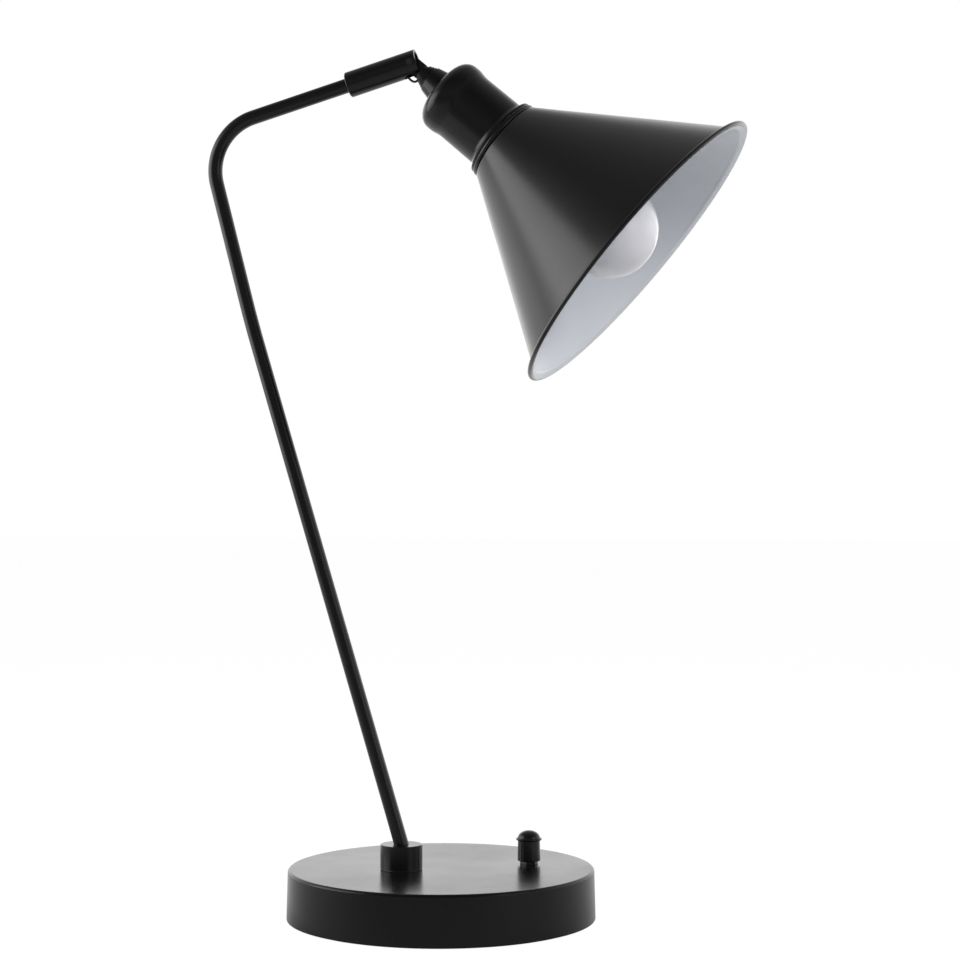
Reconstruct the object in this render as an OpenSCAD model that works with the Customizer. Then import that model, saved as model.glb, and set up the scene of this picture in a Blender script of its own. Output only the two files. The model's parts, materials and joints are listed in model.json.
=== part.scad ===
// Task lamp: a weighted round base, a bent tube arm that turns in its collar, a slotted
// sleeve that turns on the arm's end, and a tilting head with a socket cup and a cone shade.
// Millimetres. +Z is up and +X is the way the head points. The origin is the middle of the
// face that the lamp stands on.

/* [Base] */
// Diameter of the base at its foot
base_d = 190.5; // [170:0.5:230]
// Height of the base above the table
base_h = 31.5; // [28:0.5:45]
// How much the base narrows from foot to top, on the diameter
base_draft = 1.6; // [0:0.1:6]
// Radius of the base's top edge
base_edge_r = 1.8; // [0.5:0.1:4]
// Sheet thickness of the base shell
shell_t = 1.5; // [0.8:0.1:2]
// Thickness of the pad that the lamp stands on
pad_t = 2; // [1.5:0.1:3]
// Thickness of the bottom plate
plate_t = 0.8; // [0.5:0.1:1.5]
// Distance from the outside of the shell to the cast weight
weight_gap = 17.25; // [15:0.05:22]
// Thickness of the cast weight
weight_t = 12; // [8:0.5:14]

/* [Layout] */
// Distance of the arm collar from the middle of the base
collar_off = 25; // [18:0.1:34]
// Distance of the switch from the middle of the base
switch_off = 55.7; // [50:0.1:60]
// How far the arm is turned from the line through collar and switch
arm_turn = 24; // [0:0.1:60]

/* [Arm collar] */
// Diameter of the collar
collar_d = 26; // [24:0.5:34]
// Height of the collar
collar_h = 14.6; // [11:0.1:20]
// Thickness of the washer that the collar turns on
turn_washer_t = 0.5; // [0.3:0.1:1.5]
// Outside diameter of the threaded nipples
nipple_d = 10; // [9:0.1:10.5]
// Bore of the threaded nipples
nipple_bore = 7; // [5.5:0.1:7.5]

/* [Arm] */
// Outside diameter of the arm tube
tube_d = 9; // [8:0.1:9.5]
// Wall of the arm tube
tube_t = 1; // [0.6:0.1:1.5]
// Lean of the lower arm from upright
lean = 16.63; // [10:0.01:22]
// Length of the straight lower arm above the collar
lower_len = 328.1; // [240:0.1:400]
// Radius of the slight set in the lower arm
set_r = 420; // [200:10:600]
// Angle of the slight set
set_a = 2.1; // [1:0.1:4]
// Length between the set and the bend
mid_len = 82.3; // [50:0.1:120]
// Centreline radius of the bend
bend_r = 34; // [26:0.1:45]
// Rise of the upper arm from level
rise = 16.3; // [8:0.1:22]
// Distance from the end of the bend to the tilt pivot
upper_len = 106.1; // [90:0.1:130]

/* [Sleeve] */
// Outside diameter of the sleeve
sleeve_d = 15.8; // [15.6:0.1:18]
// Wall of the sleeve
sleeve_t = 1.6; // [1.2:0.1:1.7]
// Length of the sleeve
sleeve_len = 45.9; // [42:0.1:60]
// How far the sleeve reaches past the tilt pivot
sleeve_nose = 4; // [3:0.1:4.5]
// Width of the slot under the sleeve's end
slot_w = 8; // [7.4:0.1:9]
// Length of the slot from the sleeve's end
slot_len = 10.6; // [10.4:0.1:12]
// Length of the bushing between sleeve and arm
bushing_len = 14; // [10:0.5:16]
// Diameter of the tilt pin
pin_d = 4; // [3:0.1:4.5]

/* [Neck] */
// Tilt of the head below level
tilt = 40.4; // [10:0.1:60]
// Width of the knuckle's tongue and stem
stem_d = 10.1; // [9.6:0.1:10.3]
// Thickness of the knuckle's tongue
tongue_t = 5.6; // [4.5:0.1:6]
// Distance from the pivot to the first step
step_z = 10.8; // [10.4:0.1:13]
// Height of one step
step_h = 1.6; // [1.2:0.1:2.5]
// Diameter of the first step
step_d = 12.8; // [12.4:0.1:14]
// Growth in diameter from step to step
step_grow = 1.3; // [0.6:0.1:2]
// Diameter of the neck cone at its narrow end
cone_d = 17.2; // [16.8:0.1:19]
// Diameter of the neck cone at its wide end
cone_wide_d = 21.4; // [19:0.1:24]

/* [Socket cup] */
// Distance from the pivot to the top of the cup
cup_z = 25.5; // [24:0.1:30]
// Length of the cup
cup_len = 48.5; // [46:0.1:56]
// Largest diameter of the cup, at its shoulder
shoulder_d = 47; // [46:0.1:52]
// Radius of the cup's shoulder
shoulder_r = 8; // [5:0.1:10]
// Diameter of the cup below its shoulder
waist_d = 44.8; // [44:0.1:45.6]
// Outside diameter of the cup's flange
flange_d = 52.4; // [50:0.1:56]
// Radius of the flare into the flange
flare_r = 4; // [3:0.1:5]
// Sheet thickness of the cup
cup_t = 1.2; // [0.8:0.1:1.5]
// Diameter of the trim ring under the cup
trim_d = 53.8; // [53:0.1:58]
// Height of the trim ring's bead
trim_h = 3.4; // [2.5:0.1:4]

/* [Shade] */
// Outside diameter of the shade's rim
rim_d = 199.2; // [180:0.2:240]
// Depth of the shade along its axis
shade_h = 107.5; // [95:0.1:120]
// Diameter of the shade's top
shade_top_d = 54.4; // [54:0.1:58]
// Sheet thickness of the shade
shade_t = 0.9; // [0.6:0.1:1.2]
// Radius of the rolled bead at the rim
bead_r = 1.4; // [1.2:0.1:2]
// Width of the rim's lip outside the cone
lip_w = 5.4; // [4.5:0.1:8]

/* [Lampholder and lamp] */
// Outside diameter of the lampholder
holder_d = 39.2; // [38:0.1:40]
// Length of the lampholder
holder_len = 57; // [54:0.5:60]
// How far the lampholder reaches out of the cup
holder_out = 33.2; // [22:0.1:38]
// Largest diameter of the lamp
lamp_d = 59.4; // [50:0.1:61]
// Overall length of the lamp
lamp_len = 109.5; // [104:0.5:112]
// Diameter of the lamp's screw cap over its thread
cap_d = 26.2; // [25.8:0.1:26.4]

/* [Switch] */
// Largest diameter of the knob's barrel
knob_d = 14.2; // [13:0.1:18]
// Diameter of the knob's flange
knob_flange_d = 16; // [15.8:0.1:20]
// Height of the knob
knob_h = 18.8; // [16:0.1:24]
// Height of the knob's dome above its flange
knob_dome = 4.7; // [3:0.1:6]
// Gap between knob and base
knob_gap = 2.2; // [2.1:0.1:4]
// Diameter of the switch shaft
shaft_d = 6; // [5:0.1:6]
// Diameter of the switch housing
switch_d = 23; // [20:0.5:24]
// Depth of the switch housing
switch_h = 14.5; // [12:0.5:16]

/* [Cord inlet] */
// Bore of the cord gland
gland_bore = 6.4; // [5:0.1:7]
// Height of the gland above the table
gland_z = 14; // [12:0.5:18]

/* [Fits] */
// Clearance all round between parts that are fixed together
fit = 0.05; // [0.02:0.01:0.1]
// Clearance all round of a part that turns on another
run = 0.06; // [0.02:0.01:0.1]

/* [Hidden] */
$fn = 96;
over = 1;          // how far a cut runs past the face it opens
slip = 0.05;       // gap between flat faces that turn on each other
hair = 0.01;       // how much thicker a bend is drawn than the straight it joins
lap = 0.3;         // how far a straight runs into a bend

// Colours
black = [0.03, 0.03, 0.03];
pale = [0.86, 0.87, 0.9];
steel = [0.6, 0.6, 0.62];
brass_tone = [0.78, 0.62, 0.32];
opal = [0.93, 0.93, 0.95];
dark_plastic = [0.08, 0.08, 0.08];

// Base levels, from the table up
hem_z = 0.8;                          // lower edge of the shell, clear of the table
plate_z = pad_t;
plate_top = plate_z + plate_t;
roof_z = base_h - shell_t;            // underside of the shell's top
weight_z = plate_top + 5.2;
weight_top = weight_z + weight_t;
weight_d = base_d - 2 * weight_gap;
top_r = (base_d - base_draft) / 2;
foot_r = base_d / 2;
wall_slope = (foot_r - top_r) / (base_h - hem_z);
plate_r = foot_r - shell_t - 0.6;
pad_r = plate_r - 1;
stud_in = 16;                         // from the weight's edge to a stud
stud_r = weight_d / 2 - stud_in;
stud_d = 5;
boss_d = 16;
screw_in = 14;                        // from the weight's edge to a plate screw
screw_r = weight_d / 2 - screw_in;
plate_screw_d = 4;
plate_screw_len = 8;
plate_head_d = 8;
plate_head_h = 1.5;
wall_r = foot_r - wall_slope * (gland_z - hem_z);
gland_len = weight_gap - 5.25;        // ends clear of the weight
gland_flange_d = gland_bore + 7;
gland_seat = gland_flange_d / 2 * wall_slope + 0.02;

// Places on the base
collar_x = -collar_off * cos(arm_turn);
arm_y = -collar_off * sin(arm_turn);
collar_z = base_h + turn_washer_t + slip;
collar_top = collar_z + collar_h;

// Arm path, as points of the arm's own upright plane
foot_depth = 6.5;                     // how far the tube enters the collar
bend_lean = lean - set_a;
bend_a = 90 + bend_lean - rise;
set_start = [collar_x, collar_top] + lower_len * [-sin(lean), cos(lean)];
set_c = set_start + set_r * [cos(lean), sin(lean)];
set_end = set_c - set_r * [cos(bend_lean), sin(bend_lean)];
bend_start = set_end + mid_len * [-sin(bend_lean), cos(bend_lean)];
bend_c = bend_start + bend_r * [cos(bend_lean), sin(bend_lean)];
bend_end = bend_c + bend_r * [-sin(rise), cos(rise)];
pivot = bend_end + upper_len * [cos(rise), sin(rise)];
tube_bore = tube_d - 2 * tube_t;

// Along the sleeve, measured from the tilt pivot
sleeve_back = sleeve_nose - sleeve_len;
sleeve_bore = sleeve_d - 2 * sleeve_t;
tube_tip = -12;                       // end of the arm tube inside the sleeve
lead_end = tube_tip + 2.6;
ring_len = 7;
ring_r = sleeve_bore / 2 - 0.3;
ring_back = sleeve_back + bushing_len + 0.3;
groove_w = 2.8;
groove_d = 1.2;
keeper_d = 3;
keeper_tip_d = groove_w - 0.4;
keeper_u = ring_back + ring_len / 2;
washer_d = 7.8;
washer_gap = 0.06;

// Along the head's axis, measured from the tilt pivot
steps = 3;
cone_z = step_z + steps * step_h;
neck_washer_t = 0.8;
round_z = sleeve_d / 2 + 0.4;         // where the flat tongue becomes a round stem
nipple_in = step_z + 0.6;
lead_hole_z = step_z - 1.4;
lead_hole_d = 2.6;
cup_inside = cup_z + cup_t;
cup_end = cup_z + cup_len;
nut_t = 3;
holder_end = cup_end + holder_out;
holder_z = holder_end - holder_len;
holder_bevel = 4;
holder_skin = 3;
holder_cap_h = 15;
holder_split = holder_z + holder_cap_h;
terminal_h = 10.5;
holder_floor = holder_split + terminal_h;
floor_t = 4;
holder_wall = 5.5;
contact_h = 5.6;
screw_bore = cap_d + 2 * fit;
trim_step = 0.5;
shade_z = cup_end + trim_h + trim_step;
rim_z = shade_z + shade_h;
lip_r = rim_d / 2 - bead_r;           // circle of the bead's centre
cone_end_r = rim_d / 2 - lip_w;
shade_slope = (cone_end_r - shade_top_d / 2) / (shade_h - bead_r);
shade_half = atan(shade_slope);
lamp_z = holder_floor + contact_h;    // tip of the lamp's contact
lamp_c = lamp_z + lamp_len - lamp_d / 2;
cap_z = lamp_z + 3;
cap_h = 21;
tuck = 4;                             // how far the glass reaches into the cap
tuck_r = cap_d / 2 - 0.7;
neck_r = 13.6;
neck_up = 1.5;                        // from the cap's end to the glass's neck
neck_sweep = 40;                      // radius from the neck into the bulb
glass_t = 0.8;
stem_flare_h = 14;
stem_press_h = 26;
wire_d = 0.8;
filament_d = 1.2;
filament_drop = 4;                    // from the middle of the bulb to the filament
lamp_tip_r = 4.3;

// Switch, upwards from the base
switch_z = roof_z - switch_h;
bushing_d = 7;
nut_flats = 10;
nut_top = base_h + 2;
knob_z = base_h + knob_gap;

// Frames
module on_base_line(s) rotate([0, 0, arm_turn]) translate([s, 0, 0]) children();
module at_collar() translate([collar_x, arm_y, 0]) children();
module at_switch() on_base_line(switch_off) children();
// +Z out of the base's back, from the shell's outside
module at_gland() rotate([0, 0, arm_turn + 90]) translate([wall_r, 0, gland_z])
    rotate([0, 90, 0]) children();
module at_pivot() translate([pivot[0], arm_y, pivot[1]]) children();
// +X along the sleeve towards its open end
module on_sleeve() at_pivot() rotate([0, -rise, 0]) children();
// +Z along the head's axis towards the rim, +X on the side that faces up
module on_head() at_pivot() rotate([0, 90 + tilt, 0]) rotate([0, 0, 180]) children();

// Shapes that repeat
function arc_points(c, r, from, to, n) =
    [for (i = [0:n]) let (a = from + (to - from) * i / n) c + r * [cos(a), sin(a)]];
function flipped(list) = [for (i = [len(list) - 1:-1:0]) list[i]];

// A closed ring between two radii
module ring(d, bore, h) {
    difference() {
        cylinder(d = d, h = h);
        translate([0, 0, -over]) cylinder(d = bore, h = h + 2 * over);
    }
}

// A hexagonal nut with a round bore
module hex_nut(flats, bore, h) {
    difference() {
        cylinder(d = flats / cos(30), h = h, $fn = 6);
        translate([0, 0, -over]) cylinder(d = bore, h = h + 2 * over);
    }
}

// Three copies round the middle of the base, the first at an angle from the base line
module three_round(circle, first) {
    for (i = [0:2]) rotate([0, 0, arm_turn + first + 120 * i]) translate([circle, 0, 0]) children();
}

// A rod that turns from +Z towards +X through an angle and then carries its children.
// It is a hair thicker than the straight lengths, which run a little way into it.
module turned(d, r, a) {
    translate([r, 0, 0]) rotate([90, 0, 0]) rotate([0, 0, 180 - a])
        rotate_extrude(angle = a) translate([r, 0]) circle(d = d + 2 * hair);
    translate([r - r * cos(a), 0, r * sin(a)]) rotate([0, a, 0]) children();
}

// A straight length of rod up Z that carries its children at its end
module straight(d, h, back = lap) {
    translate([0, 0, -back]) cylinder(d = d, h = h + back + lap);
    translate([0, 0, h]) children();
}

// A round rod or bore of one diameter along the arm's path
module arm_run(d, foot, tip) {
    at_collar() translate([0, 0, collar_top]) rotate([0, -lean, 0]) translate([0, 0, -foot])
        straight(d, lower_len + foot, 0) turned(d, set_r, set_a) straight(d, mid_len)
            turned(d, bend_r, bend_a) straight(d, upper_len + tip - lap);
}

// A thin tube swept along points of the X-Z plane
function heading(p, i) =
    let (a = p[max(i - 1, 0)], b = p[min(i + 1, len(p) - 1)], v = b - a) v / norm(v);
module planar_tube(p, d, sides = 8) {
    rings = len(p);
    points = [for (i = [0:rings - 1], k = [0:sides - 1])
        let (t = heading(p, i), a = 360 * k / sides, w = d / 2 * cos(a))
        [p[i][0] - t[1] * w, d / 2 * sin(a), p[i][1] + t[0] * w]];
    wall = [for (i = [0:rings - 2], k = [0:sides - 1])
        let (a = i * sides + k, b = i * sides + (k + 1) % sides)
        each [[a, b, b + sides], [a, b + sides, a + sides]]];
    first = [for (k = [1:sides - 2]) [0, k + 1, k]];
    last = [for (k = [1:sides - 2]) let (o = (rings - 1) * sides) [o, o + k, o + k + 1]];
    polyhedron(points, concat(wall, first, last), convexity = 6);
}

// Points of a quadratic curve from a to c that b pulls on
function pulled(a, b, c, n) =
    [for (i = [0:n]) let (t = i / n) (1 - t) * (1 - t) * a + 2 * t * (1 - t) * b + t * t * c];

// Base: a pressed steel shell with three studs and a swivel stop welded under its top
module base_shell() {
    inner_r = top_r - shell_t;
    inner_edge = max(base_edge_r - shell_t, 0.3);
    outer = concat([[foot_r, hem_z], [top_r + base_edge_r * wall_slope, base_h - base_edge_r]],
        arc_points([top_r - base_edge_r, base_h - base_edge_r], base_edge_r, 15, 90, 6),
        [[0, base_h]]);
    inner = [[0, roof_z], [inner_r - inner_edge, roof_z], [inner_r, roof_z - inner_edge],
        [foot_r - shell_t, hem_z]];
    color(black) difference() {
        union() {
            rotate_extrude($fn = 180) polygon(concat(outer, inner));
            three_round(stud_r, 60) translate([0, 0, weight_z - 4.6])
                cylinder(d = stud_d, h = roof_z - weight_z + 4.6 + shell_t / 2);
            at_collar() translate([11.2, -1.5, roof_z - 2.4]) cube([3, 3, 2.4 + shell_t / 2]);
        }
        at_collar() translate([0, 0, roof_z - over])
            cylinder(d = nipple_d + 2 * run, h = shell_t + 2 * over);
        at_switch() translate([0, 0, roof_z - over])
            cylinder(d = bushing_d + 2 * fit, h = shell_t + 2 * over);
        at_gland() translate([0, 0, -4]) cylinder(d = gland_bore + 3 + 2 * fit, h = 8);
    }
}

// Cast iron weight, hung from the shell on three bosses
module base_weight() {
    color([0.25, 0.25, 0.26]) difference() {
        union() {
            translate([0, 0, weight_z]) cylinder(d = weight_d, h = weight_t);
            three_round(stud_r, 60) translate([0, 0, weight_z])
                cylinder(d = boss_d, h = roof_z - weight_z);
            three_round(screw_r, 30) translate([0, 0, plate_top])
                cylinder(d = boss_d - 4, h = weight_z - plate_top + over);
        }
        three_round(stud_r, 60) translate([0, 0, weight_z - over])
            cylinder(d = stud_d + 2 * fit, h = roof_z - weight_z + 2 * over);
        three_round(screw_r, 30) translate([0, 0, plate_top - over])
            cylinder(d = plate_screw_d + 2 * fit, h = plate_screw_len + 1 + over);
        at_collar() translate([0, 0, weight_z - over]) cylinder(d = 31, h = weight_t + 2 * over);
        at_switch() translate([0, 0, weight_z - over])
            cylinder(d = switch_d + 5, h = weight_t + 2 * over);
    }
}

// Nuts that clamp the weight to the shell's studs
module weight_nuts() {
    color(steel) three_round(stud_r, 60) translate([0, 0, weight_z - 4])
        hex_nut(8, stud_d + 2 * fit, 4);
}

// Sheet steel bottom plate
module base_plate() {
    color(steel) difference() {
        translate([0, 0, plate_z]) cylinder(r = plate_r, h = plate_t, $fn = 180);
        three_round(screw_r, 30) translate([0, 0, plate_z - over])
            cylinder(d = plate_screw_d + 2 * fit, h = plate_t + 2 * over);
    }
}

// Screws that hold the plate to the weight, their heads sunk in the pad
module plate_screws() {
    color(steel) three_round(screw_r, 30) difference() {
        union() {
            translate([0, 0, plate_z - plate_head_h]) cylinder(d = plate_head_d, h = plate_head_h);
            translate([0, 0, plate_z - plate_head_h / 2])
                cylinder(d = plate_screw_d, h = plate_head_h / 2 + plate_t + plate_screw_len);
        }
        translate([-plate_head_d, -0.5, plate_z - plate_head_h - over])
            cube([2 * plate_head_d, 1, over + 0.7]);
    }
}

// Foam pad that the lamp stands on
module base_pad() {
    color(dark_plastic) difference() {
        cylinder(r = pad_r, h = pad_t, $fn = 180);
        three_round(screw_r, 30) translate([0, 0, -over])
            cylinder(d = plate_head_d + 1, h = pad_t + 2 * over);
    }
}

// Gland in the back of the base, through which the supply cord would enter
module cord_gland() {
    color(dark_plastic) at_gland() difference() {
        union() {
            translate([0, 0, -gland_len]) cylinder(d = gland_bore + 3, h = gland_len + gland_seat + 1);
            translate([0, 0, gland_seat]) cylinder(d = gland_flange_d, h = 2);
            translate([0, 0, gland_seat + 2])
                cylinder(d1 = gland_flange_d, d2 = gland_flange_d - 3, h = 1.4);
        }
        translate([0, 0, -gland_len - over]) cylinder(d = gland_bore, h = gland_len + 6);
    }
}

// Nut inside the shell that holds the gland
module gland_nut() {
    color(dark_plastic) at_gland() translate([0, 0, -shell_t - 0.4 - 3.6])
        hex_nut(14, gland_bore + 3 + 2 * fit, 3.6);
}

// Thin plastic washer between base and collar
module turn_washer() {
    color(dark_plastic) at_collar() translate([0, 0, base_h])
        ring(collar_d - 1.2, nipple_d + 2 * run + 1, turn_washer_t);
}

// Housing of the rotary switch, under the shell's top
module switch_body() {
    color(dark_plastic) at_switch() difference() {
        translate([0, 0, switch_z]) cylinder(d = switch_d, h = switch_h);
        translate([0, 0, switch_z + 4]) cylinder(d = shaft_d + 2 * run, h = switch_h);
        translate([0, 0, roof_z - 3]) cylinder(d = bushing_d + 2 * fit, h = 3 + over);
    }
}

// Threaded bushing that carries the shaft through the base
module switch_bushing() {
    color(brass_tone) at_switch() translate([0, 0, roof_z - 2.8])
        ring(bushing_d, shaft_d + 2 * run, nut_top - roof_z + 2.8);
}

// Nut that clamps the switch to the base
module switch_nut() {
    color(black) at_switch() translate([0, 0, base_h])
        hex_nut(nut_flats, bushing_d + 2 * fit, nut_top - base_h - 0.05);
}

// Lead from the switch to the arm, laid over the weight
module switch_lead() {
    run_z = weight_top + 2;
    start = [switch_off - switch_d / 2 - 0.1, roof_z - 6];
    dip = weight_z + 5;
    route = concat(pulled(start, [start[0] - 6, start[1]], [start[0] - 12, run_z], 4),
        [[12, run_z], [0, run_z]],
        pulled([4 - 0.5 * collar_off, run_z], [8 - collar_off, run_z], [6.5 - collar_off, dip + 2], 5),
        pulled([5.5 - collar_off, dip], [-collar_off, dip - 4], [-collar_off, roof_z - 12.2], 6));
    color(dark_plastic) rotate([0, 0, arm_turn]) planar_tube(route, 2.8);
}

// Shaft of the switch, flat on one side where the knob grips it
module switch_shaft() {
    color(steel) at_switch() difference() {
        translate([0, 0, switch_z + 5]) cylinder(d = shaft_d, h = knob_z + 12 - switch_z - 5);
        translate([shaft_d / 2 - 1, -shaft_d, knob_z]) cube([shaft_d, 2 * shaft_d, 13]);
    }
}

// Knob: a slightly flared barrel, a thin flange and a dome
module switch_knob() {
    barrel_h = knob_h - knob_dome - 1.4;
    dome_r = knob_d / 2 - 0.2;
    dome = [for (i = [0:10]) [dome_r * cos(9 * i), knob_h - knob_dome + knob_dome * sin(9 * i)]];
    side = concat([[0, 0], [knob_d / 2 - 0.3, 0], [knob_d / 2, 0.3],
        [knob_d / 2 - 0.25, barrel_h]],
        arc_points([knob_flange_d / 2 - 0.7, barrel_h + 0.7], 0.7, -90, 90, 6), dome);
    color(black) at_switch() translate([0, 0, knob_z]) difference() {
        rotate_extrude() polygon(side);
        translate([0, 0, -over]) difference() {
            cylinder(d = shaft_d + 2 * fit, h = 12.2 + over);
            translate([shaft_d / 2 - 1 + fit, -shaft_d, over]) cube([shaft_d, 2 * shaft_d, 14]);
        }
    }
}

// Collar at the foot of the arm, which turns on the base
module arm_collar() {
    chamfer = 0.4;
    color(black) difference() {
        at_collar() translate([0, 0, collar_z]) union() {
            cylinder(d = collar_d, h = collar_h - chamfer);
            translate([0, 0, collar_h - chamfer])
                cylinder(d1 = collar_d, d2 = collar_d - 2 * chamfer, h = chamfer);
        }
        at_collar() translate([0, 0, collar_z - over]) cylinder(d = nipple_d + 2 * fit, h = 4 + over);
        at_collar() translate([0, 0, collar_top]) rotate([0, -lean, 0])
            translate([0, 0, -foot_depth]) cylinder(d = tube_d + 2 * fit, h = foot_depth + 4);
        at_collar() translate([0, 0, collar_z])
            cylinder(d = nipple_bore, h = collar_h - foot_depth * cos(lean) + 0.8);
    }
}

// Hollow threaded nipple that joins the collar to the base
module swivel_nipple() {
    color(steel) at_collar() translate([0, 0, roof_z - 11])
        ring(nipple_d, nipple_bore, collar_z + 3.9 - roof_z + 11);
}

// Washer with a tab that meets the shell's stop after most of a turn
module stop_washer() {
    color(steel) at_collar() translate([0, 0, roof_z - 1.6]) difference() {
        union() {
            cylinder(d = 20, h = 1.5);
            translate([-14.4, -2, 0]) cube([8, 4, 1.5]);
        }
        translate([0, 0, -over]) cylinder(d = nipple_d + 2 * fit, h = 4);
    }
}

// Spring washer that gives the arm its friction
module spring_washer() {
    color(steel) at_collar() translate([0, 0, roof_z - 2.6]) ring(17, nipple_d + 2 * fit, 1);
}

// Nut under the base, on the swivel nipple
module swivel_nut() {
    color(steel) at_collar() translate([0, 0, roof_z - 6.6])
        hex_nut(17, nipple_d + 2 * fit, 4);
}

// Arm: one bent tube, brazed into the collar
module arm_tube() {
    tip = tube_tip;
    color(black) difference() {
        arm_run(tube_d, foot_depth, tip);
        arm_run(tube_bore, foot_depth + over, tip + over);
    }
}

// Lead inside the arm, from the base to the sleeve
module arm_lead() {
    d = 3.2;
    r = 20;
    aside = 1.5;
    meet = aside / sin(lean);
    half = r * tan(lean / 2);
    low = roof_z - 12;
    color(dark_plastic) at_collar() translate([aside, 0, low]) rotate([0, 0, 180])
        straight(d, collar_top - meet * cos(lean) - half - low, 0) turned(d, r, lean)
            rotate([0, 0, 180]) straight(d, meet - half + lower_len) turned(d, set_r, set_a)
                straight(d, mid_len) turned(d, bend_r, bend_a)
                    straight(d, upper_len + lead_end - lap);
}

// Grooved ring fixed on the arm's end, which keeps the sleeve on
module arm_end_ring() {
    rib = 16;
    color(steel) on_sleeve() translate([ring_back, 0, 0]) rotate([0, 90, 0]) difference() {
        ring(2 * ring_r, tube_d + 2 * fit, ring_len);
        translate([0, 0, (ring_len - groove_w) / 2]) rotate([0, 0, -90 + rib / 2])
            rotate_extrude(angle = 360 - rib)
                translate([ring_r - groove_d, 0]) square([groove_d + over, groove_w]);
    }
}

// Sleeve that turns on the arm's end, slotted below for the knuckle
module sleeve() {
    r = slot_w / 2;
    chamfer = 0.5;
    color(black) on_sleeve() difference() {
        translate([sleeve_back, 0, 0]) rotate([0, 90, 0]) union() {
            cylinder(d1 = sleeve_d - 2 * chamfer, d2 = sleeve_d, h = chamfer);
            translate([0, 0, chamfer]) cylinder(d = sleeve_d, h = sleeve_len - chamfer);
        }
        translate([sleeve_back - over, 0, 0]) rotate([0, 90, 0])
            cylinder(d = sleeve_bore, h = sleeve_len + 2 * over);
        translate([sleeve_nose - slot_len + r, 0, -sleeve_d]) cylinder(r = r, h = sleeve_d);
        translate([sleeve_nose - slot_len + r, -r, -sleeve_d])
            cube([slot_len - r + over, slot_w, sleeve_d]);
        rotate([90, 0, 0]) cylinder(d = pin_d + 2 * fit, h = sleeve_d + 2, center = true);
        translate([keeper_u, 0, 0]) rotate([-90, 0, 0]) cylinder(d = keeper_d + 2 * fit, h = sleeve_d);
    }
}

// Bushing pressed into the sleeve, running on the arm tube
module sleeve_bushing() {
    color(dark_plastic) on_sleeve() translate([sleeve_back + 0.1, 0, 0]) rotate([0, 90, 0])
        ring(sleeve_bore - 2 * fit, tube_d + 2 * run, bushing_len - 0.1);
}

// Grub screw on the far side of the sleeve, its tip in the ring's groove
module keeper_screw() {
    tip_y = ring_r - groove_d + 0.3;
    color(steel) on_sleeve() translate([keeper_u, 0, 0]) rotate([-90, 0, 0]) difference() {
        union() {
            translate([0, 0, tip_y]) cylinder(d = keeper_tip_d, h = sleeve_t + 2);
            translate([0, 0, sleeve_bore / 2 + 0.1]) cylinder(d = keeper_d, h = sleeve_t - 0.3);
        }
        translate([0, 0, sleeve_d / 2 - 1]) cylinder(d = 1.5, h = 3, $fn = 6);
    }
}

// Pin across the sleeve's end, the head's tilt pivot
module tilt_pin() {
    color(black) on_sleeve() rotate([90, 0, 0]) cylinder(d = pin_d, h = sleeve_d - 0.5, center = true);
}

// Sprung washers on both sides of the tongue, which hold the head by friction
module tilt_washers() {
    t = sqrt(pow(sleeve_bore / 2, 2) - pow(washer_d / 2, 2)) - tongue_t / 2 - 2 * washer_gap;
    color(steel) on_sleeve() for (side = [-1, 1])
        translate([0, side * (tongue_t / 2 + washer_gap + t / 2), 0]) rotate([90, 0, 0])
            difference() {
                cylinder(d = washer_d, h = t, center = true);
                cylinder(d = pin_d + 2 * fit, h = t + 2, center = true);
            }
}

// Lead that crosses the tilt joint in the open, from the sleeve's slot to the stem
module joint_lead() {
    a = rise + tilt;
    hole = lead_hole_z * [cos(a), -sin(a)] - (stem_d / 2 - 0.9) * [sin(a), cos(a)];
    out = hole - 4.2 * [sin(a), cos(a)];
    slot_in = sleeve_nose - slot_len + 1.2;
    route = concat(pulled([lead_end + 0.1, 0], [slot_in - 0.6, 0], [slot_in, -3.4], 6),
        pulled([slot_in + 0.3, -5.6], out - [0.4, 1.6], hole, 12));
    color(dark_plastic) on_sleeve() planar_tube(route, 1.5, 12);
}

// Knuckle: a flat tongue on the tilt pin, a round stem and a stepped hub
module knuckle() {
    color(black) on_head() difference() {
        union() {
            intersection() {
                union() {
                    rotate([90, 0, 0]) cylinder(d = stem_d, h = tongue_t, center = true);
                    translate([-stem_d / 2, -tongue_t / 2, 0]) cube([stem_d, tongue_t, round_z + over]);
                }
                translate([-stem_d, -stem_d, -stem_d]) cube([2 * stem_d, 2 * stem_d, stem_d + round_z]);
            }
            translate([0, 0, round_z]) cylinder(d = stem_d, h = step_z - round_z);
            for (i = [0:steps - 1]) translate([0, 0, step_z + i * step_h]) {
                cylinder(d = step_d + i * step_grow, h = step_h - 0.35);
                cylinder(d = step_d + i * step_grow - 0.8, h = step_h);
            }
        }
        rotate([90, 0, 0]) cylinder(d = pin_d + 2 * run, h = stem_d, center = true);
        translate([0, 0, nipple_in]) cylinder(d = nipple_d + 2 * fit, h = cone_z);
        translate([0, 0, lead_hole_z - 0.6]) cylinder(d = 5.4, h = cone_z);
        translate([0, 0, lead_hole_z]) rotate([0, -90, 0]) cylinder(d = lead_hole_d, h = stem_d);
    }
}

// Cone between the knuckle and the cup
module neck_cone() {
    color(black) on_head() difference() {
        translate([0, 0, cone_z])
            cylinder(d1 = cone_d, d2 = cone_wide_d, h = cup_z - neck_washer_t - cone_z);
        translate([0, 0, cone_z - over]) cylinder(d = nipple_d + 2 * fit, h = cup_z);
    }
}

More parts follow.
